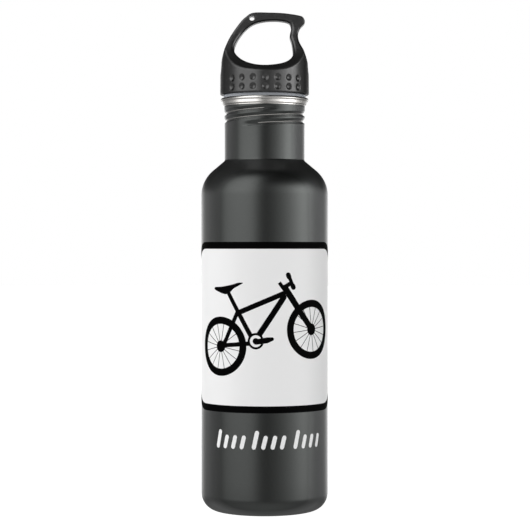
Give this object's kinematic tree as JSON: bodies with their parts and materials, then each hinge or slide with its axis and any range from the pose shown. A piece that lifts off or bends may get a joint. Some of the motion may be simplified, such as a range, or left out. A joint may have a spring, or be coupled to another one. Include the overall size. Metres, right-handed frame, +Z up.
{
  "type": "water bottle",
  "caption": "Single-wall steel sports bottle with a rolled internal neck thread and a screw cap that ends in a carry loop.",
  "frame": {"origin": "centre of the standing ring, on the plane the bottle stands on", "axes": "+Z up along the bottle's axis, -Y towards the printed front, +X to the right seen from the front"},
  "size_m": [0.0732, 0.0731, 0.2863],
  "materials": {
    "coated_steel": "satin charcoal powder coat",
    "bare_steel": "bare stainless steel",
    "cap_plastic": "fine moulded grain",
    "plug_plastic": "smooth moulded",
    "silicone": "matt silicone",
    "black_print": "cured ink",
    "white_print": "cured ink"
  },
  "bodies": {
    "bottle": {"bottle_shell": "coated_steel", "base_cup": "bare_steel", "print_frame": "black_print", "print_panel": "white_print", "print_bicycle": "black_print", "print_strokes": "white_print"},
    "seal": {"seal_ring": "silicone"},
    "cap": {"cap_shell": "cap_plastic", "thread_plug": "plug_plastic"}
  },
  "joints": [
    {"name": "cap_rise", "type": "slide", "parent": "bottle", "child": "seal", "axis": [0, 0, 1], "range_m": [0, 0.0185]},
    {"name": "cap_turn", "type": "hinge", "parent": "seal", "child": "cap", "pos_m": [0, 0, 0.2373], "axis": [0, 0, 1], "range_deg": [0, 800]}
  ],
  "couplings": [
    {"joint": "cap_rise", "follows": "cap_turn", "m_per_rad": 0.001321}
  ]
}
